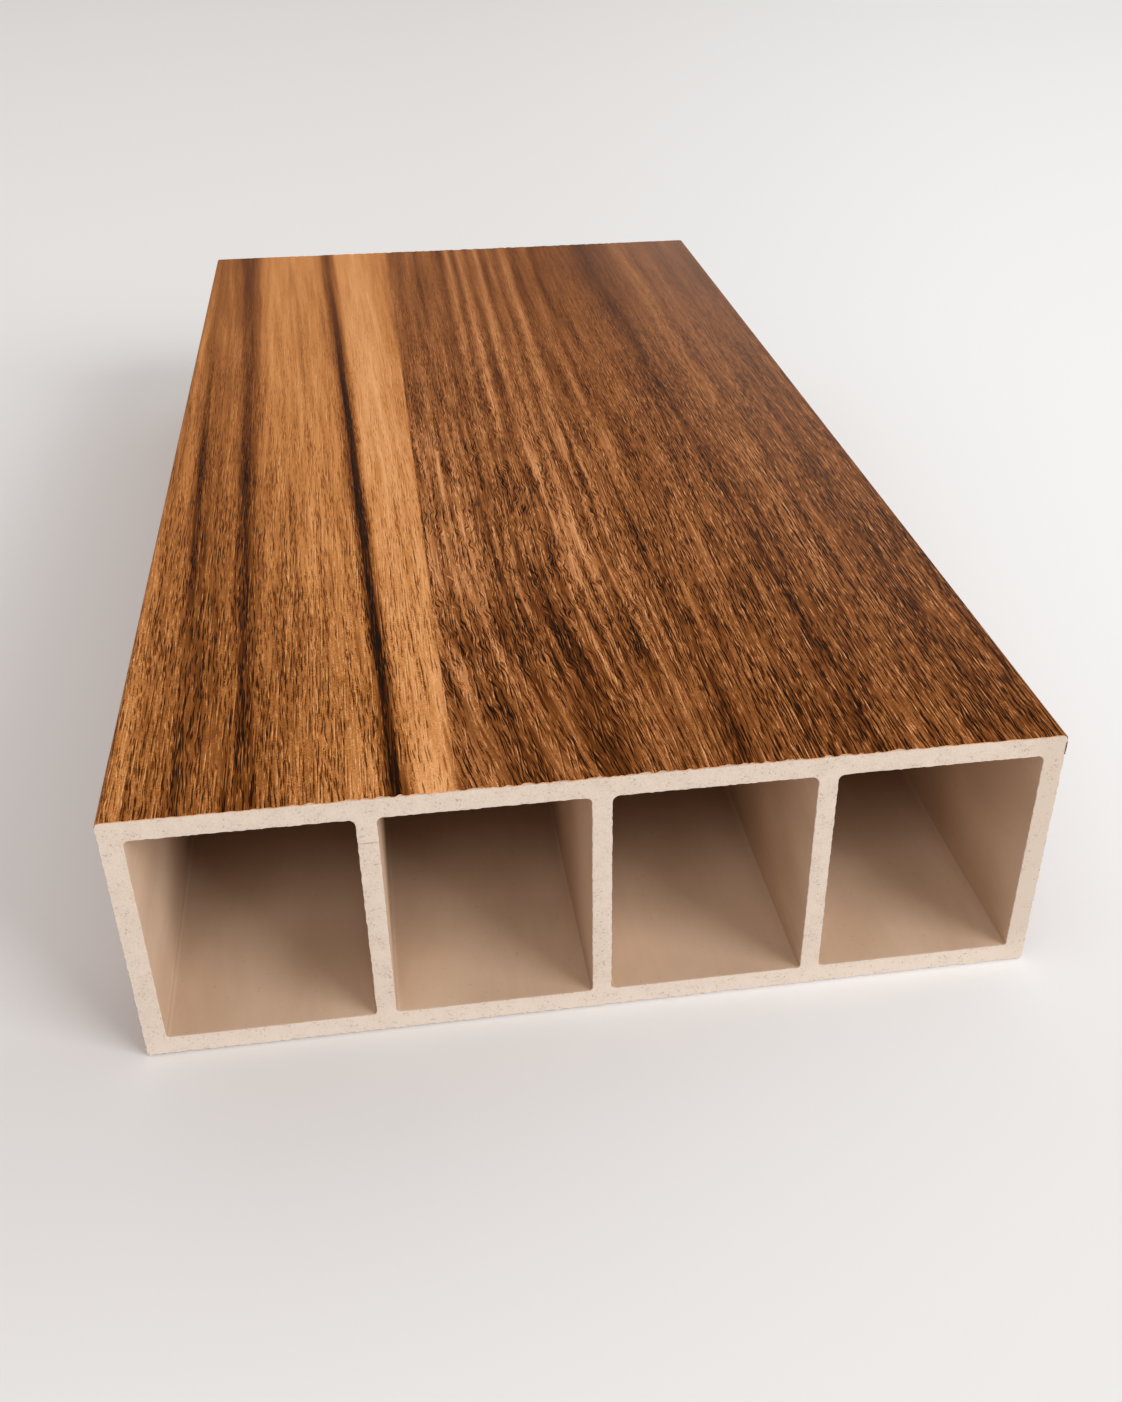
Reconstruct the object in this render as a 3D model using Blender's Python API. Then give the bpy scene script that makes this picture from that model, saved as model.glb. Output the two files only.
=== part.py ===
"""Hollow composite beam: a short sawn length of a rectangular extrusion with through cells.

The beam lies on a wide face, along Y, with its width along X and its height along Z. The origin is the middle
of its underside. A wood-grain film covers the outer faces, and the sawn ends and the cells are bare composite.
All sizes are in metres.
"""

import math

import bmesh
import bpy

# Sawn piece
BEAM_LENGTH = 0.300
BEAM_WIDTH = 0.150
BEAM_HEIGHT = 0.0475

# Walls of the section
TOP_WALL = 0.0037
BOTTOM_WALL = 0.0038
SIDE_WALL = 0.0035
WEB_THICKNESS = 0.0032

# Cells of the section, of which the first and the last are a little wider than those between
CELL_COUNT = 4
OUTER_CELL_WIDTH = 0.0339

# Corners of the section
OUTER_CORNER_RADIUS = 0.0008
CELL_TOP_CORNER_RADIUS = 0.0011
CELL_BOTTOM_CORNER_RADIUS = 0.0007
CORNER_SEGMENTS = 6

# Faces that meet at less than this angle are shaded as one surface
SMOOTH_BELOW = math.radians(30)

# Order of the two finishes on the beam
COMPOSITE_INDEX = 0
FILM_INDEX = 1


def clear_scene():
    """Empty the scene, so that it holds the beam alone."""
    for obj in list(bpy.data.objects):
        bpy.data.objects.remove(obj, do_unlink=True)


def make_material(name, color, roughness):
    """A plain, non-metallic finish."""
    material = bpy.data.materials.new(name)
    material.use_nodes = True
    shader = material.node_tree.nodes["Principled BSDF"]
    shader.inputs["Base Color"].default_value = (*color, 1.0)
    shader.inputs["Roughness"].default_value = roughness
    shader.inputs["Metallic"].default_value = 0.0
    return material


def rounded_rectangle(left, right, bottom, top, top_radius, bottom_radius):
    """Points (x, z) round a rectangle from its right side, with each corner an arc of its radius."""
    largest = min(right - left, top - bottom) / 2
    upper = min(top_radius, largest)
    lower = min(bottom_radius, largest)
    corners = (
        (right - upper, top - upper, upper),
        (left + upper, top - upper, upper),
        (left + lower, bottom + lower, lower),
        (right - lower, bottom + lower, lower),
    )
    points = []
    for quarter, (centre_x, centre_z, radius) in enumerate(corners):
        for step in range(CORNER_SEGMENTS + 1):
            angle = math.pi / 2 * (quarter + step / CORNER_SEGMENTS)
            x = centre_x + radius * math.cos(angle)
            z = centre_z + radius * math.sin(angle)
            points.append((x, z))
    return points


def outer_outline():
    """The section's outside, standing on z = 0."""
    side = BEAM_WIDTH / 2
    return rounded_rectangle(-side, side, 0, BEAM_HEIGHT, OUTER_CORNER_RADIUS, OUTER_CORNER_RADIUS)


def cell_widths():
    """The widths of the cells, from left to right. The inner cells share what the rest leaves."""
    walls = 2 * SIDE_WALL + (CELL_COUNT - 1) * WEB_THICKNESS
    inner_count = CELL_COUNT - 2
    inner_width = (BEAM_WIDTH - walls - 2 * OUTER_CELL_WIDTH) / inner_count
    return [OUTER_CELL_WIDTH] + [inner_width] * inner_count + [OUTER_CELL_WIDTH]


def cell_outlines():
    """The cells, with a web between each and the next."""
    ceiling = BEAM_HEIGHT - TOP_WALL
    radii = (CELL_TOP_CORNER_RADIUS, CELL_BOTTOM_CORNER_RADIUS)
    outlines = []
    left = -BEAM_WIDTH / 2 + SIDE_WALL
    for width in cell_widths():
        outlines.append(rounded_rectangle(left, left + width, BOTTOM_WALL, ceiling, *radii))
        left += width + WEB_THICKNESS
    return outlines


def extrude_outline(mesh, outline, material_index):
    """Draw an outline at the front end, run it back along the beam, and return its edges at both ends."""
    corners = [mesh.verts.new((x, -BEAM_LENGTH / 2, z)) for x, z in outline]
    front_edges = [mesh.edges.new(pair) for pair in zip(corners, corners[1:] + corners[:1])]
    run = bmesh.ops.extrude_edge_only(mesh, edges=front_edges)["geom"]
    walls = [item for item in run if isinstance(item, bmesh.types.BMFace)]
    back_corners = [item for item in run if isinstance(item, bmesh.types.BMVert)]
    back_edges = [item for item in run if isinstance(item, bmesh.types.BMEdge)]
    bmesh.ops.translate(mesh, verts=back_corners, vec=(0, BEAM_LENGTH, 0))
    for wall in walls:
        wall.material_index = material_index
    return front_edges, back_edges


def close_end(mesh, edges, outward):
    """Fill the bare sawn end between the outside and the cells."""
    sawn = bmesh.ops.triangle_fill(mesh, edges=edges, normal=(0, outward, 0), use_beauty=True)
    for item in sawn["geom"]:
        if isinstance(item, bmesh.types.BMFace):
            item.material_index = COMPOSITE_INDEX


def make_beam(composite, film):
    """Extrude the section into one closed solid, with the film on its outer faces."""
    mesh = bmesh.new()
    ends = [extrude_outline(mesh, outer_outline(), FILM_INDEX)]
    ends += [extrude_outline(mesh, outline, COMPOSITE_INDEX) for outline in cell_outlines()]
    close_end(mesh, [edge for front, back in ends for edge in front], outward=-1)
    close_end(mesh, [edge for front, back in ends for edge in back], outward=1)
    bmesh.ops.recalc_face_normals(mesh, faces=mesh.faces)

    data = bpy.data.meshes.new("hollow_beam")
    mesh.to_mesh(data)
    mesh.free()
    data.materials.append(composite)
    data.materials.append(film)
    data.shade_smooth()
    data.set_sharp_from_angle(angle=SMOOTH_BELOW)

    beam = bpy.data.objects.new("hollow_beam", data)
    bpy.context.scene.collection.objects.link(beam)
    flat_walls = beam.modifiers.new("Flat walls", "WEIGHTED_NORMAL")
    flat_walls.keep_sharp = True
    return beam


def main():
    clear_scene()
    composite = make_material("bare_composite", (0.73, 0.61, 0.52), 0.75)
    film = make_material("wood_film", (0.25, 0.11, 0.04), 0.40)
    make_beam(composite, film)


main()
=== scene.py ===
"""Looks of the hollow composite beam: its bare sawn ends, its smooth cells and its wood-grain film."""

import math

import bmesh
import bpy
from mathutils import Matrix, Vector


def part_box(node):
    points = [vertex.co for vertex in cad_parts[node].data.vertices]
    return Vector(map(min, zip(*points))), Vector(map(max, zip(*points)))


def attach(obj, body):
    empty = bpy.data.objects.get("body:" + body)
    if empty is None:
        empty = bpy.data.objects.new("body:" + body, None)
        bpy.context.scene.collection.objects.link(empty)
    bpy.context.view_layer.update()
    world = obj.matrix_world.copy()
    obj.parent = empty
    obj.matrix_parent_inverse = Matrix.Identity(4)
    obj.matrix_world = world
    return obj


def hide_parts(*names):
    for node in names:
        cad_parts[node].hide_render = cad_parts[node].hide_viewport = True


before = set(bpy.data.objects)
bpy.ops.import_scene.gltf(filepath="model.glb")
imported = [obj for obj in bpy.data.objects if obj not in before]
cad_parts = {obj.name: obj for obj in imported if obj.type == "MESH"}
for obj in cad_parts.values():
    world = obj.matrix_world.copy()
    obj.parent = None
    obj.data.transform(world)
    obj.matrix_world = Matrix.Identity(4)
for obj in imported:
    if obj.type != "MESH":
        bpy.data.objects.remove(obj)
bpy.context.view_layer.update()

MM = 0.001

# The beam, as the frame has it
LOW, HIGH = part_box("hollow_beam")
LENGTH = HIGH.y - LOW.y

# Walls of the section
SIDE_WALL = 3.5 * MM
TOP_WALL = 3.7 * MM
BOTTOM_WALL = 3.8 * MM
WEB = 3.2 * MM
OUTER_CELL = 33.9 * MM
CELL_FLOOR = LOW.z + BOTTOM_WALL
CELL_CEILING = HIGH.z - TOP_WALL

# Left and right wall of each cell
CELLS = [
    (LOW.x + SIDE_WALL, LOW.x + SIDE_WALL + OUTER_CELL),
    (LOW.x + SIDE_WALL + OUTER_CELL + WEB, -WEB / 2),
    (WEB / 2, HIGH.x - SIDE_WALL - OUTER_CELL - WEB),
    (HIGH.x - SIDE_WALL - OUTER_CELL, HIGH.x - SIDE_WALL),
]

# Corners of the section
OUTER_RADIUS = 0.8 * MM
CELL_TOP_RADIUS = 1.1 * MM
CELL_BOTTOM_RADIUS = 0.7 * MM
ARC_SEGMENTS = 5

# The film, and how far its sawn edges are broken back. Down the right side it holds for a little way.
FILM_THICKNESS = 0.15 * MM
CHIP_ZONE = 2.0 * MM
TOP_CHIP_DEPTH = 0.5 * MM
SIDE_SETBACK = 0.9 * MM
SIDE_CHIP_DEPTH = 0.7 * MM
RIGHT_HOLD = 4.0 * MM

# Chips along the top grow shallower toward its two corners, over a run that would end in nothing this far
# from the middle, but never below a least share of their depth. Distance and runs are in millimetres.
CHIP_RUN_END = 62
LEFT_CHIP_RUN = 20
LEFT_CHIP_SHARE = 0.3
RIGHT_CHIP_RUN = 14
RIGHT_CHIP_SHARE = 0.4

# The broken edges that the saw leaves on the composite, round the cells' mouths and round the outside
END_SETBACK = 0.08 * MM
RIM_ZONE = 0.5 * MM
RIM_WIDTH = 0.12 * MM
RIM_SEGMENTS = 2
RIM_ROUGHNESS = 0.13 * MM
SIDE_BURR = 0.14 * MM
UNDERSIDE_RIM_DEPTH = 0.24 * MM
EDGE_STEP = 0.36 * MM

# Grain of the patterns that break the edges
BURR_SIZE = 0.9 * MM
CRUMBLE_SIZE = 0.7 * MM
CHIP_SIZE = 1.3 * MM
FLAKE_SIZE = 1.6 * MM

# Closer than this, two places are the same
TOUCH = 0.01 * MM

# Faces that meet at less than this angle are shaded as one surface
SMOOTH_BELOW = math.radians(35)

# A cell's wall meets the sawn end at more than this angle
MOUTH_ANGLE = math.radians(60)

# How squarely a face looks along the beam, from 0 to 1, when it is an end face or the film's cut edge
END_FACE = 0.99
CUT_FACE = 0.5


# Modelling by hand, in edit mode

def deselect_objects():
    for item in list(bpy.context.selected_objects):
        item.select_set(False)


def start_block(name, low, high):
    """A block between two corners, left open in edit mode."""
    deselect_objects()
    bpy.ops.mesh.primitive_cube_add(size=1, location=(low + high) / 2, scale=high - low)
    block = bpy.context.active_object
    block.name = name
    block.data.name = name
    bpy.ops.object.transform_apply(location=True, rotation=True, scale=True)
    bpy.ops.object.mode_set(mode="EDIT")
    return block


def select(mode, test):
    """Select the edges or the faces that pass the test, and nothing else. Gives how many there are."""
    bpy.ops.mesh.select_mode(type=mode)
    bpy.ops.mesh.select_all(action="DESELECT")
    data = bpy.context.object.data
    mesh = bmesh.from_edit_mesh(data)
    mesh.normal_update()
    items = mesh.edges if mode == "EDGE" else mesh.faces
    wanted = [item for item in items if test(item)]
    for item in wanted:
        item.select_set(True)
    mesh.select_flush_mode()
    bmesh.update_edit_mesh(data)
    return len(wanted)


def cut_across(point, normal):
    """Cut the whole piece along a plane."""
    bpy.ops.mesh.select_all(action="SELECT")
    bpy.ops.mesh.bisect(plane_co=point, plane_no=normal)


def near(value, target):
    return abs(value - target) < TOUCH


def middle(edge):
    return (edge.verts[0].co + edge.verts[1].co) / 2


def runs_along(edge):
    """Whether an edge runs the length of the beam."""
    return abs(edge.verts[0].co.y - edge.verts[1].co.y) > LENGTH / 2


def is_level(edge):
    """Whether an edge lies across the beam."""
    return near(edge.verts[0].co.y, edge.verts[1].co.y)


def is_end_face(face):
    """Whether a face looks straight along the beam."""
    return abs(face.normal.y) > END_FACE


def round_edges(test, radius):
    select("EDGE", test)
    bpy.ops.mesh.bevel(offset=radius, segments=ARC_SEGMENTS, affect="EDGES")


def round_outer_corners(low, high, radius):
    def is_corner(edge):
        place = middle(edge)
        on_side = near(place.x, low.x) or near(place.x, high.x)
        on_face = near(place.z, low.z) or near(place.z, high.z)
        return runs_along(edge) and on_side and on_face

    round_edges(is_corner, radius)


def split_edges(test):
    """Halve the edges that pass the test until each is short enough to break up."""
    while select("EDGE", lambda edge: test(edge) and edge.calc_length() > EDGE_STEP):
        bpy.ops.mesh.subdivide(number_cuts=1)


def apply_modifier(piece, kind, **settings):
    bpy.context.view_layer.objects.active = piece
    modifier = piece.modifiers.new(kind.title(), kind)
    for name, value in settings.items():
        setattr(modifier, name, value)
    bpy.ops.object.modifier_apply(modifier=modifier.name)


def broken_pattern(name, size, contrast, brightness):
    """A cloudy pattern, from 0 where an edge is whole to 1 where it is broken most."""
    pattern = bpy.data.textures.new(name, "CLOUDS")
    pattern.noise_scale = size
    pattern.noise_depth = 2
    pattern.contrast = contrast
    pattern.intensity = brightness
    pattern.use_clamp = True
    return pattern


def break_edges(piece, name, share, pattern, direction, strength, mid_level=0.0):
    """Push vertices by a broken pattern, each by the share that its place gives it, from 0 to 1."""
    group = piece.vertex_groups.new(name=name)
    for vertex in piece.data.vertices:
        part = float(share(vertex.co))
        if part:
            group.add([vertex.index], part, "REPLACE")
    apply_modifier(
        piece, "DISPLACE",
        texture=pattern, texture_coords="LOCAL", vertex_group=name,
        direction=direction, strength=strength, mid_level=mid_level,
    )
    piece.vertex_groups.remove(piece.vertex_groups[name])


def shade(piece):
    """Shade flat walls flat and round corners round."""
    bpy.context.view_layer.objects.active = piece
    piece.select_set(True)
    bpy.ops.object.shade_smooth_by_angle(angle=SMOOTH_BELOW)
    apply_modifier(piece, "WEIGHTED_NORMAL", keep_sharp=True, weight=100)


# The extruded profile

PROFILE_INSET = Vector((FILM_THICKNESS, END_SETBACK, FILM_THICKNESS))
PROFILE_LOW = LOW + PROFILE_INSET
PROFILE_HIGH = HIGH - PROFILE_INSET


def at_profile_end(place):
    return near(abs(place.y), PROFILE_HIGH.y)


def open_cell(left, right):
    """Bridge the cell's two end faces, which opens it right through."""
    def is_cell_end(face):
        place = face.calc_center_median()
        inside = left < place.x < right and CELL_FLOOR < place.z < CELL_CEILING
        return inside and at_profile_end(place)

    select("FACE", is_cell_end)
    bpy.ops.mesh.bridge_edge_loops()


def is_cell_corner(edge, height):
    place = middle(edge)
    at_wall = any(near(place.x, wall) for walls in CELLS for wall in walls)
    return runs_along(edge) and near(place.z, height) and at_wall


def is_outside(place):
    """Whether a place is on the profile's outer faces, corners included."""
    on_side = abs(place.x) > PROFILE_HIGH.x - OUTER_RADIUS
    on_face = place.z > PROFILE_HIGH.z - OUTER_RADIUS or place.z < PROFILE_LOW.z + OUTER_RADIUS
    return on_side or on_face


def is_mouth_edge(edge):
    """Whether an edge is where a cell's wall meets a sawn end."""
    at_end = all(at_profile_end(vertex.co) for vertex in edge.verts)
    return at_end and edge.calc_face_angle(0) > MOUTH_ANGLE and not is_outside(middle(edge))


def is_rim_edge(edge):
    """Whether an edge runs round a cell's mouth or the outside of a sawn end, or just behind either."""
    at_end = all(abs(vertex.co.y) > PROFILE_HIGH.y - RIM_ZONE - TOUCH for vertex in edge.verts)
    return at_end and is_level(edge) and not all(is_end_face(face) for face in edge.link_faces)


def make_profile():
    """Cut a block into strips, bridge the cells through it, round its corners and break its sawn edges."""
    profile = start_block("sawn_profile", PROFILE_LOW, PROFILE_HIGH)
    for left, right in CELLS:
        cut_across((left, 0, 0), (1, 0, 0))
        cut_across((right, 0, 0), (1, 0, 0))
    cut_across((0, 0, CELL_FLOOR), (0, 0, 1))
    cut_across((0, 0, CELL_CEILING), (0, 0, 1))
    for left, right in CELLS:
        open_cell(left, right)
    round_edges(lambda edge: is_cell_corner(edge, CELL_CEILING), CELL_TOP_RADIUS)
    round_edges(lambda edge: is_cell_corner(edge, CELL_FLOOR), CELL_BOTTOM_RADIUS)
    round_outer_corners(PROFILE_LOW, PROFILE_HIGH, OUTER_RADIUS - FILM_THICKNESS)
    cut_across((0, PROFILE_LOW.y + RIM_ZONE, 0), (0, 1, 0))
    cut_across((0, PROFILE_HIGH.y - RIM_ZONE, 0), (0, 1, 0))
    select("EDGE", is_mouth_edge)
    bpy.ops.mesh.bevel(offset=RIM_WIDTH, segments=RIM_SEGMENTS, affect="EDGES")
    split_edges(is_rim_edge)
    bpy.ops.object.mode_set(mode="OBJECT")

    def is_mouth(place):
        behind = PROFILE_HIGH.y - abs(place.y)
        return TOUCH < behind < 2 * RIM_WIDTH and not is_outside(place)

    def is_left_rim(place):
        return at_profile_end(place) and place.x < PROFILE_LOW.x + TOUCH

    def is_right_rim(place):
        return at_profile_end(place) and place.x > PROFILE_HIGH.x - TOUCH

    def is_underside_rim(place):
        return at_profile_end(place) and place.z < PROFILE_LOW.z + TOUCH

    burr = broken_pattern("mouth_burr", BURR_SIZE, contrast=2.0, brightness=1.0)
    break_edges(profile, "mouths", is_mouth, burr, "NORMAL", RIM_ROUGHNESS, mid_level=0.5)
    crumble = broken_pattern("rim_crumble", CRUMBLE_SIZE, contrast=3.0, brightness=1.0)
    break_edges(profile, "left_rim", is_left_rim, crumble, "X", -SIDE_BURR)
    break_edges(profile, "right_rim", is_right_rim, crumble, "X", SIDE_BURR)
    break_edges(
        profile, "underside_rim", is_underside_rim, crumble, "Z", UNDERSIDE_RIM_DEPTH, mid_level=-0.6,
    )
    shade(profile)
    return profile


# The wood-grain film

def film_holds(place):
    """Whether the film holds there but for chips: along the top, and at the head of the right side."""
    return place.z > HIGH.z - (RIGHT_HOLD if place.x > 0 else OUTER_RADIUS)


def chip_share(place):
    """How deep the chips are there: less toward the left and the right corner than between."""
    from_left = max((place.x / MM + CHIP_RUN_END) / LEFT_CHIP_RUN, LEFT_CHIP_SHARE)
    from_right = max((CHIP_RUN_END - place.x / MM) / RIGHT_CHIP_RUN, RIGHT_CHIP_SHARE)
    return min(from_left, from_right, 1.0)


def make_film():
    """Wrap a thin skin round the four outer faces, and break its sawn edges back in chips."""
    film = start_block("wood_film", LOW, HIGH)
    round_outer_corners(LOW, HIGH, OUTER_RADIUS)
    cut_across((0, LOW.y + CHIP_ZONE, 0), (0, 1, 0))
    cut_across((0, HIGH.y - CHIP_ZONE, 0), (0, 1, 0))
    select("FACE", is_end_face)
    bpy.ops.mesh.delete(type="FACE")
    split_edges(is_level)
    bpy.ops.object.mode_set(mode="OBJECT")
    apply_modifier(film, "SOLIDIFY", thickness=FILM_THICKNESS + TOUCH, offset=-1.0)
    chips = broken_pattern("film_chips", CHIP_SIZE, contrast=3.5, brightness=0.9)
    flakes = broken_pattern("film_flakes", FLAKE_SIZE, contrast=3.0, brightness=1.0)
    sides_level = -SIDE_SETBACK / SIDE_CHIP_DEPTH
    for name, end, inward in (("front", LOW.y, 1), ("back", HIGH.y, -1)):
        def chipped_back(place, end=end):
            return near(place.y, end) and not film_holds(place)

        def chipped(place, end=end):
            return chip_share(place) if near(place.y, end) and film_holds(place) else 0

        break_edges(film, name + "_sides", chipped_back, flakes, "Y", inward * SIDE_CHIP_DEPTH, sides_level)
        break_edges(film, name + "_top", chipped, chips, "Y", inward * TOP_CHIP_DEPTH)
    shade(film)
    return film


# Shader maths

class Wire:
    """A number that varies over a surface. Arithmetic on wires adds the Math nodes that work it out."""

    def __init__(self, finish, socket):
        self.finish = finish
        self.socket = socket

    def __add__(self, other):
        return self.finish.math("ADD", self, other)

    __radd__ = __add__

    def __sub__(self, other):
        return self.finish.math("SUBTRACT", self, other)

    def __rsub__(self, other):
        return self.finish.math("SUBTRACT", other, self)

    def __mul__(self, other):
        return self.finish.math("MULTIPLY", self, other)

    __rmul__ = __mul__

    def __truediv__(self, other):
        return self.finish.math("DIVIDE", self, other)

    def __abs__(self):
        return self.finish.math("ABSOLUTE", self)


# Sockets that are told apart by their order alone
OBJECT_PLACE = 3
MIX_FACTOR = 0
MIX_FIRST = 6
MIX_SECOND = 7
MIX_RESULT = 2


class Finish:
    """The nodes of one material, which read the object's own coordinates in millimetres."""

    def __init__(self, name, roughness):
        self.material = bpy.data.materials.new(name)
        self.material.use_nodes = True
        self.tree = self.material.node_tree
        self.surface = self.tree.nodes["Principled BSDF"]
        self.surface.inputs["Roughness"].default_value = roughness
        place = self.node("ShaderNodeTexCoord")[OBJECT_PLACE]
        self.x, self.y, self.z = (
            axis / MM for axis in self.node("ShaderNodeSeparateXYZ", sockets={"Vector": place})
        )

    def node(self, kind, settings=None, sockets=None):
        """Add a node with its settings and its sockets' values or wires, and give its outputs."""
        node = self.tree.nodes.new(kind)
        for name, value in (settings or {}).items():
            if name == "stops":
                self.set_stops(node.color_ramp.elements, value)
            elif name == "blend":
                node.color_ramp.interpolation = value
            else:
                setattr(node, name, value)
        for name, value in (sockets or {}).items():
            self.feed(node.inputs[name], value)
        return [Wire(self, socket) for socket in node.outputs]

    def set_stops(self, elements, stops):
        while len(elements) < len(stops):
            elements.new(1.0)
        for element, (position, color) in zip(elements, stops):
            element.position = position
            element.color = color

    def feed(self, socket, value):
        if isinstance(value, Wire):
            self.tree.links.new(value.socket, socket)
        else:
            socket.default_value = value

    def math(self, operation, *values):
        return self.node("ShaderNodeMath", {"operation": operation}, dict(enumerate(values)))[0]

    def higher(self, first, second):
        return self.math("MAXIMUM", first, second)

    def fade(self, value, start, end):
        """0 before start, 1 after end, and a smooth step between."""
        settings = {"interpolation_type": "SMOOTHSTEP", "clamp": True}
        sockets = {"Value": value, "From Min": start, "From Max": end}
        return self.node("ShaderNodeMapRange", settings, sockets)[0]

    def line(self, across, half_width):
        """1 on the line where across is 0, down to 0 at the half width."""
        return 1 - self.fade(abs(across), 0.0, half_width)

    def band(self, value, left, right):
        """1 between two soft sides, each given by where it is 0 and where it is 1."""
        return self.fade(value, *left) * self.fade(value, *right)

    def point(self, across, along, depth=0.0):
        return self.node("ShaderNodeCombineXYZ", sockets={"X": across, "Y": along, "Z": depth})[0]

    def noise(self, place, detail, distortion=0.0):
        """A pattern about one unit in size, around 0.5."""
        sockets = {"Vector": place, "Scale": 1.0, "Detail": detail, "Distortion": distortion}
        return self.node("ShaderNodeTexNoise", {"noise_dimensions": "3D"}, sockets)[0]

    def mottle(self, size, detail=3.0):
        """A pattern of patches that many millimetres across, around 0.5."""
        return self.noise(self.point(self.x / size, self.y / size, self.z / size), detail)

    def streaks(self, across, along, width, length, seed, detail=2.0):
        """A pattern of streaks about that wide and long, in millimetres, around 0 and mostly within 1."""
        place = self.point(across / width, along / length, seed)
        return (self.noise(place, detail) - 0.5) * 4.0

    def strokes(self, across, along, pitch, row, half_width, half_length, share, seed):
        """Thin strokes along the grain, at most one in each patch of about pitch by row millimetres.

        It is 1 on a stroke, 0 beside it, and the share of the patches that hold one may be a wire.
        """
        at = self.point(across / pitch + seed, along / row)
        settings = {"voronoi_dimensions": "2D", "feature": "F1"}
        sockets = {"Vector": at, "Scale": 1.0, "Randomness": 1.0}
        color, centre = self.node("ShaderNodeTexVoronoi", settings, sockets)[1:3]
        away = self.node("ShaderNodeVectorMath", {"operation": "SUBTRACT"}, {0: at, 1: centre})[0]
        sideways, lengthways = self.node("ShaderNodeSeparateXYZ", sockets={"Vector": away})[:2]
        sideways = sideways * (pitch / half_width)
        lengthways = lengthways * (row / half_length)
        stroke = self.fade(sideways * sideways + lengthways * lengthways, 1.0, 0.25)
        chance = self.node("ShaderNodeSeparateColor", sockets={"Color": color})[0]
        return stroke * self.math("LESS_THAN", chance, share)

    def mix(self, factor, first, second):
        """A colour from first, at 0, to second, at 1."""
        sockets = {MIX_FACTOR: factor, MIX_FIRST: first, MIX_SECOND: second}
        return self.node("ShaderNodeMix", {"data_type": "RGBA"}, sockets)[MIX_RESULT]

    def ramp(self, value, stops, blend="LINEAR"):
        """A colour that runs through the stops as the value goes from 0 to 1."""
        return self.node("ShaderNodeValToRGB", {"stops": stops, "blend": blend}, {"Fac": value})[0]

    def color(self, value):
        self.feed(self.surface.inputs["Base Color"], value)

    def bump(self, height, depth):
        """Relief as deep as depth where the height goes from 0 to 1."""
        sockets = {"Strength": 1.0, "Distance": depth, "Height": height}
        relief = self.node("ShaderNodeBump", sockets=sockets)[0]
        self.feed(self.surface.inputs["Normal"], relief)


def tint(red, green, blue):
    """A colour as a screen shows it, from 0 to 255, as the shader takes it."""
    def linear(part):
        part /= 255
        return part / 12.92 if part <= 0.04045 else ((part + 0.055) / 1.055) ** 2.4

    return linear(red), linear(green), linear(blue), 1.0


# Finishes of the composite

SAWN_COLOR = tint(209, 191, 175)
SAWN_DARK = tint(199, 180, 164)
SAWN_PAINTED_LIGHT = tint(222, 205, 191)
PINHOLE_COLOR = tint(156, 122, 97)
CELL_COLOR = tint(211, 181, 154)
CELL_DARK = tint(197, 166, 139)
CELL_PAINTED_SHADE = tint(172, 138, 108)

# Sizes of patterns are in millimetres. So are their limits, as where a pattern is 0 and where it is 1.

# The sawn ends' fine grain, cloudy patches and pinholes, and the depth of their relief
SAWN_GRAIN_SIZE = 0.3
SAWN_CLOUD_SIZE = 3.0
PINHOLE_SIZE = 0.38
SAWN_RELIEF = 0.05 * MM

# Painted shade at the ends of the right side's wall, and painted light on the paler foot of the ends
WALL_PAINTED_SHADE = (68.0, 73.0)
FOOT_PAINTED_LIGHT = (8.0, 2.0)

# A hairline crack across the first web of the front end: its height and half width, the web's middle and
# how far the crack reaches from it, and its limit along the beam
CRACK_HEIGHT = 39.4
CRACK_HALF_WIDTH = 0.2
CRACKED_WEB = -36.0
CRACK_REACH = 3.2
CRACKED_END = (-140.0, -148.0)

# The cells' specks, a line of painted shade just above their floors, and painted shade deeper in, away from
# the ends
CELL_SPECK_SIZE = 0.8
CELL_CORNER_SHADE_RISE = 0.35
CELL_CORNER_SHADE_HALF_WIDTH = 0.4
CELL_PAINTED_SHADE_PART = (125.0, 90.0)


def finish_sawn():
    """Matt sawn composite: a fine grain, faint cloudy patches, scattered pinholes and short scratches."""
    finish = Finish("sawn_composite", 0.85)
    grain = finish.mottle(SAWN_GRAIN_SIZE)
    cloud = finish.mottle(SAWN_CLOUD_SIZE)
    pinholes = finish.fade(finish.mottle(PINHOLE_SIZE, detail=1.0), 0.64, 0.71)
    pinholes = pinholes * finish.fade(cloud, 0.38, 0.54)
    scratched = finish.fade(cloud, 0.48, 0.7)
    scratches = finish.strokes(
        finish.z, finish.x, pitch=0.9, row=2.2, half_width=0.07, half_length=0.9, share=scratched, seed=4.1,
    )
    cracked = finish.line(finish.x - CRACKED_WEB, CRACK_REACH) * finish.fade(finish.y, *CRACKED_END)
    crack = finish.line(finish.z - CRACK_HEIGHT + grain * 0.3, CRACK_HALF_WIDTH) * cracked
    # Darker where the grain and patches are darker, and with painted shade at the ends of the right side's
    # wall
    darker = finish.fade(grain * 0.6 + cloud * 0.4, 0.36, 0.66) + finish.fade(finish.x, *WALL_PAINTED_SHADE) * 0.9
    base = finish.mix(darker, SAWN_COLOR, SAWN_DARK)
    # Painted light makes the foot of the ends paler
    base = finish.mix(finish.fade(finish.z, *FOOT_PAINTED_LIGHT) * 0.35, base, SAWN_PAINTED_LIGHT)
    marks = finish.higher(finish.higher(pinholes * 0.7, scratches * 0.4), crack)
    finish.color(finish.mix(marks * 0.8, base, PINHOLE_COLOR))
    finish.bump(grain * 0.6 - marks * 0.4, SAWN_RELIEF)
    return finish.material


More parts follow.
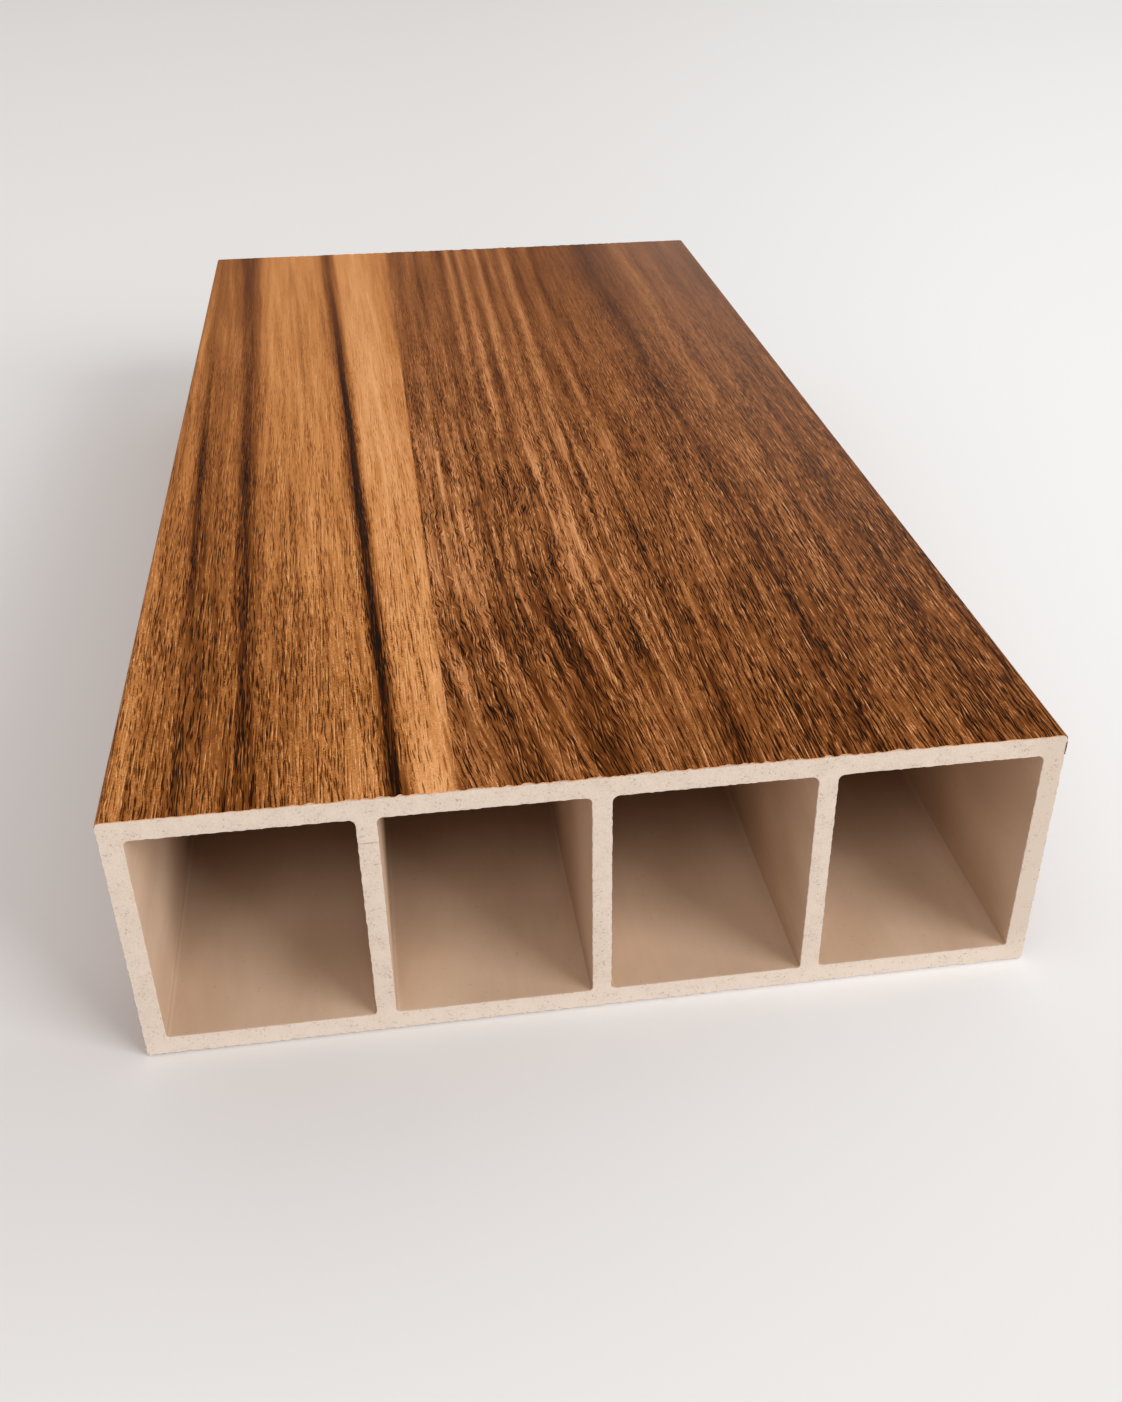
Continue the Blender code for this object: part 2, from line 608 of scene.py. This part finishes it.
def finish_cell():
    """The extruded skin inside the cells: smooth, faintly mottled and specked, in painted shade deeper in."""
    finish = Finish("cell_skin", 0.7)
    finish.surface.inputs["Specular IOR Level"].default_value = 0.2
    around = finish.x + finish.z
    cloud = finish.streaks(around, finish.y, width=14.0, length=24.0, seed=5.0, detail=0.0)
    cloud = cloud + finish.streaks(around, finish.y, width=2.0, length=9.0, seed=6.0) * 0.25
    specks = finish.fade(finish.mottle(CELL_SPECK_SIZE, detail=1.0), 0.70, 0.78)
    skin = finish.mix(finish.fade(cloud, -1.0, 1.0), CELL_COLOR, CELL_DARK)
    # Painted shade along the foot of the walls just above the floor, and deeper in, away from the ends
    corner = finish.line(finish.z - BOTTOM_WALL / MM - CELL_CORNER_SHADE_RISE, CELL_CORNER_SHADE_HALF_WIDTH)
    inside = finish.fade(abs(finish.y), *CELL_PAINTED_SHADE_PART)
    skin = finish.mix(finish.higher(inside * 0.6, corner * 0.6), skin, CELL_PAINTED_SHADE)
    finish.color(finish.mix(specks * 0.25, skin, PINHOLE_COLOR))
    return finish.material


# Finish of the film. Places are in millimetres, across the beam and along it, with the front end at -150.
# Limits are pairs, of where a pattern is 0 and where it is 1.

HALF_LENGTH = 150.0
TOP = 47.5

# Where a straight joint parts the golden board on the left from the walnut board on the right, how soft it
# is, and how much softer near the front end
BOARD_JOINT = -22.0
JOINT_WIDTH = 0.4
JOINT_SPREAD = 1.4
JOINT_FRONT = (-60.0, -140.0)

# How far the strips of each board run to the left from the front end to the back
GOLDEN_DRIFT = 10.0
WALNUT_DRIFT = 1.0

# Tone of the strips of each board at the front end, from 0 for near black to 1 for light gold
GOLDEN_STRIPS = [
    (-130, 0.45), (-112, 0.60), (-96, 0.42), (-84, 0.56), (-76, 0.52), (-71, 0.56), (-66, 0.54), (-61, 0.46),
    (-57, 0.54), (-52, 0.53), (-47, 0.56), (-40, 0.62), (-34, 0.66), (-28, 0.77), (-24, 0.78), (-12, 0.62),
]
WALNUT_STRIPS = [
    (-24, 0.48), (-16, 0.46), (-11, 0.43), (-6, 0.36), (-1, 0.46), (6, 0.49), (12, 0.45), (16, 0.47),
    (22, 0.37), (27, 0.38), (31, 0.44), (35, 0.39), (44, 0.37), (49, 0.40), (52.5, 0.48), (56, 0.38),
    (60, 0.42), (65.5, 0.35), (69, 0.39), (74, 0.35), (84, 0.42), (96, 0.34), (112, 0.46), (130, 0.36),
]

# The golden board's middle strip, which grows lighter toward the back, and its pale edge by the joint
MIDDLE_STRIP = ((-56.0, -48.0), (-35.0, -42.0))
PALE_EDGE = (-29.0, -25.0)

# Where the walnut board's grain starts to slant, how sharply it bends, and its limit across the board
SLANT_START = -60.0
SLANT_BEND = 0.0010
SLANT_LIMIT = (4.0, 26.0)

# Light wavy streaks of the walnut board's back half, as tones across it, how far they run to the right, and
# their limit across the board
WAVY_STREAKS = [
    (-24, 0.45), (-20, 0.38), (-17, 0.48), (-14, 0.38), (-11.5, 0.46), (-8, 0.34), (-6.4, 0.34), (-4.6, 0.58),
    (-2.8, 0.35), (-0.9, 0.60), (1.6, 0.35), (4.4, 0.60), (6.3, 0.34), (8.2, 0.52), (10.2, 0.35),
    (12.7, 0.60), (15.2, 0.36), (17, 0.35), (19.8, 0.51), (22, 0.37), (24.4, 0.48), (27, 0.38),
]
WAVY_DRIFT = 4.0
WAVY_LIMIT = (28.0, 22.0)

# A darker band of the walnut board toward the back
FAR_SHADE = ((16.0, 26.0), (54.0, 44.0))

# Dark lines of the golden board: the place, the core's half width and darkness, then its soft shoulders'
# half width, how much wider they grow toward the ends, their darkness and how much darker they grow
# toward the back
GOLDEN_LINES = [
    (-63.8, 0.9, 0.14, 2.6, 0.8, 0.12, -0.08),
    (-57.6, 0.9, 0.0, 2.0, 1.4, 0.0, 0.12),
    (-54.2, 1.0, 0.12, 3.0, 1.4, 0.20, 0.06),
    (-30.9, 1.0, 0.36, 2.5, 0.9, 0.35, -0.04),
]

# Dark flames of the walnut board, which widen from their tips to the front end: the place across and along
# of the tip, the place across at the front end, and by how much the half width has grown there
FLAMES = [
    (-22.0, -88.0, -9.0, 4.6),
    (-6.0, -40.0, 3.5, 4.2),
    (20.0, -60.0, 23.0, 1.6),
]
FLAME_TIP_HALF_WIDTH = 0.8
FLAME_DARKNESS = 0.14

# One long dark line of the walnut board: its place, how far it runs to the left toward the back, its half
# width and how much that grows toward the back, and its darkness
WALNUT_LINE = 44.8
WALNUT_LINE_DRIFT = 5.0
WALNUT_LINE_HALF_WIDTH = 1.2
WALNUT_LINE_SPREAD = 3.4
WALNUT_LINE_DARKNESS = 0.10

# Limits of the film's top, a little way down its sides, and of the top's right part. Then those of the most
# figured part of the walnut board: across it, toward the back and toward the front.
TOP_LIMIT = (90.0, 75.0)
RIGHT_PART = (22.0, 38.0)
FIGURE_LIMIT = (28.0, 12.0)
FIGURE_BACK = (40.0, -20.0)
FIGURE_FRONT = (-145.0, -105.0)

# How much each pattern changes the tone, before what the parts of the boards add to it. The glints and
# ridges are painted highlights of the embossing, and the grooves its painted shade.
BROAD_STREAKS = 0.11
NARROW_STREAKS = 0.17
FINE_LINES = 0.13
SMUDGES = 0.10
CURLS = 0.09
PORES = 0.26
GLINTS = 0.22
RIDGE_HIGHLIGHT = 0.20
GROOVE_SHADE = 0.18

# Tones from which the wood turns pale and its dark marks weaker or rarer, and where it is palest
PALEST = (0.66, 0.8)

# Width and length of the fine curls, how far the grooves lie beside the ridges, and the embossing's depth
CURL_WIDTH = 0.9
CURL_LENGTH = 1.3
GROOVE_SHIFT = 0.24
FILM_RELIEF = 0.04 * MM

GOLDEN_COLORS = [
    (0.00, tint(27, 10, 0)), (0.15, tint(63, 27, 1)), (0.35, tint(108, 57, 15)),
    (0.55, tint(156, 94, 43)), (0.75, tint(200, 131, 71)), (1.00, tint(236, 171, 112)),
]
WALNUT_COLORS = [
    (0.00, tint(27, 10, 0)), (0.15, tint(63, 27, 1)), (0.35, tint(106, 56, 17)),
    (0.55, tint(151, 91, 45)), (0.75, tint(195, 129, 77)), (1.00, tint(230, 165, 115)),
]

# Painted sheen of the room on the film, which grows toward the back right corner and stops at the edge
SHEEN_COLOR = tint(152, 126, 112)
SHEEN_STRENGTH = 0.4
SHEEN_GROWTH = (20.0, 80.0)
SHEEN_END = (80.0, 75.0)


def strip_tones(finish, place, strips):
    """The tone at a place across the board, from its strips."""
    first, last = strips[0][0], strips[-1][0]
    stops = [((at - first) / (last - first), (tone, tone, tone, 1.0)) for at, tone in strips]
    return finish.ramp((place - first) / (last - first), stops, "CARDINAL")


def golden_board(finish, across, toward_back, sway, ripple):
    """The left board: broad golden strips parted by near-black lines with brown shoulders."""
    place = across + toward_back * GOLDEN_DRIFT + sway * 0.3
    middle_strip = finish.band(place, *MIDDLE_STRIP)
    pale_edge = finish.fade(place, *PALE_EDGE) * (0.02 - finish.fade(toward_back, 0.5, 0.9) * 0.04)
    tone = strip_tones(finish, place, GOLDEN_STRIPS)
    tone = tone + toward_back * (0.03 + middle_strip * 0.12) + pale_edge
    far = finish.fade(toward_back, 0.35, 1.0)
    soft = far + finish.fade(toward_back, 0.35, 0.0) * 0.7
    for at, core, core_darkness, shoulder, spread, shoulder_darkness, darker in GOLDEN_LINES:
        away = abs(place + ripple * 0.12 - at)
        in_shoulder = 1 - finish.fade(away / (shoulder + soft * spread), 0.2, 1.0)
        in_core = 1 - finish.fade(away / core, 0.4, 1.0)
        tone = tone - in_shoulder * (shoulder_darkness + far * darker)
        tone = tone - in_core * core_darkness * (1 - far * 0.75)
    return tone, place


def walnut_board(finish, across, along, toward_back, sway, ripple):
    """The right board: reddish brown walnut, whose grain slants to the right near the front end."""
    before = finish.higher(SLANT_START - along, 0.0)
    slant = before * before * SLANT_BEND * (1 - finish.fade(across, *SLANT_LIMIT))
    place = across + toward_back * WALNUT_DRIFT - slant + sway * 0.5
    wiggle = finish.streaks(across, along, width=7.0, length=7.0, seed=31.0, detail=1.0)
    wiggle = wiggle * finish.fade(toward_back, 0.95, 0.55)
    wavy_place = across - (toward_back - 0.6) * WAVY_DRIFT + sway * 0.4 + wiggle * 0.45
    wavy = finish.fade(toward_back, 0.3, 0.6) * finish.fade(across, *WAVY_LIMIT)
    strips = strip_tones(finish, place, WALNUT_STRIPS)
    tone = strips + (strip_tones(finish, wavy_place, WAVY_STREAKS) - strips) * wavy
    far_shade = finish.band(across, *FAR_SHADE) * finish.fade(toward_back, 0.7, 0.9)
    tone = tone + finish.fade(toward_back, 0.1, 0.4) * 0.03 - far_shade * 0.07
    for tip, tip_along, at_front, half_width in FLAMES:
        grown = finish.higher((tip_along - along) / (tip_along + HALF_LENGTH), 0.0)
        away = across + ripple * 0.9 - (tip + grown * (at_front - tip))
        flame = finish.line(away, FLAME_TIP_HALF_WIDTH + grown * half_width)
        tone = tone - flame * finish.fade(grown, 0.0, 0.4) * FLAME_DARKNESS
    dark_width = WALNUT_LINE_HALF_WIDTH + finish.fade(toward_back, 0.3, 1.0) * WALNUT_LINE_SPREAD
    away = place + toward_back * WALNUT_LINE_DRIFT + ripple * 0.2 - WALNUT_LINE
    tone = tone - finish.line(away, dark_width) * WALNUT_LINE_DARKNESS
    return tone, place


def finish_film():
    """Printed and embossed wood grain under a satin coat, running along the beam and round its edges."""
    finish = Finish("wood_grain_film", 0.42)
    finish.surface.inputs["Specular IOR Level"].default_value = 0.02
    side = finish.math("SIGN", finish.x)
    across = finish.x + side * (TOP - finish.z)
    along = finish.y
    toward_back = (along + HALF_LENGTH) / (2 * HALF_LENGTH)
    sway = finish.streaks(across, along, width=28.0, length=120.0, seed=11.0, detail=1.0)
    ripple = finish.streaks(across, along, width=4.0, length=28.0, seed=12.0)
    golden_tone, golden_place = golden_board(finish, across, toward_back, sway, ripple)
    walnut_tone, walnut_place = walnut_board(finish, across, along, toward_back, sway, ripple)
    joint_width = JOINT_WIDTH + finish.fade(along, *JOINT_FRONT) * JOINT_SPREAD
    walnut = finish.fade((across + ripple * 0.2 - BOARD_JOINT) / joint_width, -1.0, 1.0)
    tone = golden_tone + (walnut_tone - golden_tone) * walnut
    past_joint = finish.math("GREATER_THAN", walnut, 0.5)
    place = golden_place + (walnut_place - golden_place) * past_joint + ripple * 0.28

    # Streaks, from broad bands down to fine lines, which are plainer toward the back of the top
    on_top = finish.fade(abs(across), *TOP_LIMIT)
    plain = 1 - finish.fade(toward_back, 0.2, 1.0) * on_top * 0.85
    plain = plain * (1 - (1 - walnut) * finish.fade(toward_back, 0.1, 0.45) * on_top * 0.36)
    right_side = finish.fade(across, *RIGHT_PART)
    figured = walnut * finish.fade(across, *FIGURE_LIMIT) * finish.fade(along, *FIGURE_BACK)
    figured = figured * finish.fade(along, *FIGURE_FRONT)
    broad = finish.streaks(place, along, width=5.0, length=160.0, seed=13.0) * (1 - toward_back * 0.3)
    narrow = finish.streaks(place, along, width=1.3, length=45.0, seed=14.0) * (1 - toward_back * 0.6)
    lines = finish.streaks(place, along, width=0.34, length=11.0, seed=15.0) * plain
    tone = tone + 0.04 + broad * (BROAD_STREAKS + figured * 0.10 - right_side * 0.03)
    fine = FINE_LINES + walnut * 0.03 + right_side * 0.06
    tone = tone + narrow * (NARROW_STREAKS + figured * 0.18) + lines * fine + figured * 0.04
    smudges = finish.streaks(across, along, width=3.0, length=7.0, seed=26.0)
    smudges = finish.fade(smudges, 0.1, 1.1) * plain
    tone = tone - smudges * (1 - finish.fade(tone, *PALEST) * 0.6) * SMUDGES + 0.015

    # Fine curls where the wood is light and near the front
    curl_place = finish.point(across / CURL_WIDTH, along / CURL_LENGTH, 17.0)
    curls = finish.noise(curl_place, detail=1.0, distortion=2.0)
    curls = abs(finish.math("FRACT", curls * 3.0) - 0.5) * 4.0 - 1.0
    curly = finish.fade(tone, 0.36, 0.56) * finish.fade(along, -20.0, -110.0)
    tone = tone + curls * curly * CURLS

    # Short dark pores, a little bent, dense in some bands and rarer in others and where the wood is palest
    bands = finish.streaks(place, along, width=2.6, length=30.0, seed=22.0)
    share = finish.fade(bands, -0.9, 0.5) * (1 - finish.fade(tone, *PALEST) * 0.5)
    bends = finish.streaks(across, along, width=1.8, length=4.0, seed=24.0, detail=0.0)
    bent = place + bends * (0.12 + figured * 0.25)
    long_pores = finish.strokes(
        bent, along, pitch=0.65, row=8.0, half_width=0.14, half_length=3.6, share=share, seed=3.7,
    )
    short_pores = finish.strokes(
        bent, along, pitch=0.6, row=4.0, half_width=0.13, half_length=1.6, share=share, seed=48.3,
    )
    pores = finish.higher(long_pores, short_pores * 0.9) * plain
    depth = PORES + finish.fade(bands, -0.4, 1.0) * 0.16 + walnut * 0.04 + right_side * 0.06

    # Small painted glints on the embossing, and its thin straight lines, with a painted highlight along one
    # edge and painted shade along the other. They are also raised or sunk a little in the relief.
    glints = finish.strokes(
        bent, along, pitch=0.6, row=3.6, half_width=0.11, half_length=1.4, share=0.4, seed=33.1,
    )
    glints = glints * plain
    pressed = finish.streaks(across, along, width=5.0, length=40.0, seed=23.0)
    pressed = finish.fade(pressed, -0.8, 0.4) * 0.8
    emboss = {"pitch": 0.9, "row": 12.0, "half_width": 0.13, "half_length": 5.4}
    emboss.update(share=pressed, seed=71.9)
    ridges = finish.strokes(across, along, **emboss) * plain
    grooves = finish.strokes(across - GROOVE_SHIFT, along, **emboss) * plain
    bright = GLINTS + walnut * 0.06 + right_side * 0.05
    tone = tone + glints * bright + ridges * RIDGE_HIGHLIGHT - grooves * GROOVE_SHADE - pores * depth
    color = finish.mix(walnut, finish.ramp(tone, GOLDEN_COLORS), finish.ramp(tone, WALNUT_COLORS))
    # Painted sheen of the room, mixed into the film's colour toward the back right corner
    sheen = finish.fade(across, *SHEEN_GROWTH) * toward_back * finish.fade(across, *SHEEN_END)
    finish.color(finish.mix(sheen * SHEEN_STRENGTH, color, SHEEN_COLOR))
    relief = ridges - pores - grooves * 0.6 + glints * 0.5 + curls * curly * 0.25
    finish.bump(relief, FILM_RELIEF)
    return finish.material


# The film where it is cut across, which is its pale orange base
CUT_FILM_COLOR = tint(202, 150, 112)


def finish_cut_film():
    finish = Finish("cut_film", 0.7)
    finish.color(CUT_FILM_COLOR)
    return finish.material


# The object's pieces

def dress_profile():
    profile = make_profile()
    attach(profile, "root")
    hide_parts("hollow_beam")
    profile.data.materials.append(finish_sawn())
    profile.data.materials.append(finish_cell())
    for face in profile.data.polygons:
        at_end = abs(face.center.y) > PROFILE_HIGH.y - RIM_WIDTH
        face.material_index = 0 if at_end or is_outside(face.center) else 1


def dress_film():
    film = make_film()
    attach(film, "root")
    film.data.materials.append(finish_film())
    film.data.materials.append(finish_cut_film())
    for face in film.data.polygons:
        on_top = face.center.z > HIGH.z - OUTER_RADIUS and face.center.x < HIGH.x - OUTER_RADIUS
        face.material_index = 1 if on_top and abs(face.normal.y) > CUT_FACE else 0


# Floor, light and camera

# Painted light makes the floor paler to the right of the beam, and painted shade makes it a little greyer
# close in front of its left half
FLOOR_SIZE = 30.0
FLOOR_COLOR = tint(240, 238, 237)
FLOOR_PAINTED_LIGHT = tint(250, 250, 250)
FLOOR_PAINTED_SHADE = tint(226, 222, 220)

# Limits of the painted shade along and across the beam, and of the painted light along it, in millimetres
PAINTED_SHADE_ALONG = ((-118.0, -150.0), (-250.0, -160.0))
PAINTED_SHADE_ACROSS = (60.0, -60.0)
PAINTED_LIGHT_ALONG = (-190.0, -120.0)

# The painted light spreads to the right with the distance from a place this far in front of the beam's
# middle, and its limits are shares of that distance
PAINTED_LIGHT_ORIGIN = 400.0
PAINTED_LIGHT_SPREAD = (0.0, 0.4)

# The room is a little warm, and the softboxes a little cool
ROOM_COLOR = (0.90, 0.855, 0.823, 1.0)
ROOM_STRENGTH = 0.65
KEY_COLOR = (0.92, 0.97, 1.0)

# Each softbox's name, place, size and power. They face the beam.
SOFTBOXES = [
    ("key_right", (3.0, -2.6, 1.8), 2.4, 146.0),
    ("key_front", (-0.2, -2.7, 2.8), 1.2, 25.0),
]
SOFTBOX_TARGET = (0, 0, 0)


def make_floor():
    deselect_objects()
    bpy.ops.mesh.primitive_plane_add(size=FLOOR_SIZE, location=(0, 0, 0))
    floor = bpy.context.active_object
    floor.name = "studio_floor"
    finish = Finish("studio_floor", 0.9)
    # Painted shade close in front of the beam's left half
    painted_shade_patch = finish.band(finish.y, *PAINTED_SHADE_ALONG)
    color = finish.mix(painted_shade_patch * finish.fade(finish.x, *PAINTED_SHADE_ACROSS), FLOOR_COLOR, FLOOR_PAINTED_SHADE)
    # Painted light to the right of the beam
    right = finish.fade(finish.x / (finish.y + PAINTED_LIGHT_ORIGIN), *PAINTED_LIGHT_SPREAD)
    right = right * finish.fade(finish.y, *PAINTED_LIGHT_ALONG)
    finish.color(finish.mix(right, color, FLOOR_PAINTED_LIGHT))
    floor.data.materials.append(finish.material)


def light_room():
    """An even pale room, which also lies behind the floor's edge."""
    world = bpy.data.worlds.new("studio_room")
    world.use_nodes = True
    background = world.node_tree.nodes["Background"]
    background.inputs["Color"].default_value = ROOM_COLOR
    background.inputs["Strength"].default_value = ROOM_STRENGTH
    bpy.context.scene.world = world


def add_softbox(name, place, size, power):
    """A square area light at a place, facing the beam."""
    lamp = bpy.data.lights.new(name, "AREA")
    lamp.size = size
    lamp.energy = power
    lamp.color = KEY_COLOR
    holder = bpy.data.objects.new(name, lamp)
    holder.location = place
    toward_beam = Vector(SOFTBOX_TARGET) - Vector(place)
    holder.rotation_euler = toward_beam.to_track_quat("-Z", "Y").to_euler()
    bpy.context.scene.collection.objects.link(holder)


# The camera. In pixels are the photograph's height, the focal length, and how far right of and below the
# photograph's middle the lens axis meets it.
PHOTO_HEIGHT = 1402
SENSOR = 36.0
FOCAL_PIXELS = 1445.4
AXIS_RIGHT = 36.5
AXIS_BELOW = 30.5
CAMERA_PLACE = (-28.88 * MM, -327.19 * MM, 173.91 * MM)
CAMERA_TILT = math.radians(56.683)
CAMERA_TURN = math.radians(-9.005)


def add_camera():
    """A close, steep view of the sawn end, shifted so that the lens axis isn't in the picture's middle."""
    lens = bpy.data.cameras.new("camera")
    lens.sensor_width = SENSOR
    lens.lens = FOCAL_PIXELS * SENSOR / PHOTO_HEIGHT
    lens.shift_x = -AXIS_RIGHT / PHOTO_HEIGHT
    lens.shift_y = AXIS_BELOW / PHOTO_HEIGHT
    lens.clip_start = 0.01
    lens.clip_end = 100.0
    camera = bpy.data.objects.new("camera", lens)
    camera.location = CAMERA_PLACE
    camera.rotation_euler = (CAMERA_TILT, 0, CAMERA_TURN)
    bpy.context.scene.collection.objects.link(camera)
    bpy.context.scene.camera = camera


dress_profile()
dress_film()
make_floor()
light_room()
for softbox in SOFTBOXES:
    add_softbox(*softbox)
add_camera()
bpy.context.scene.view_settings.view_transform = "Standard"
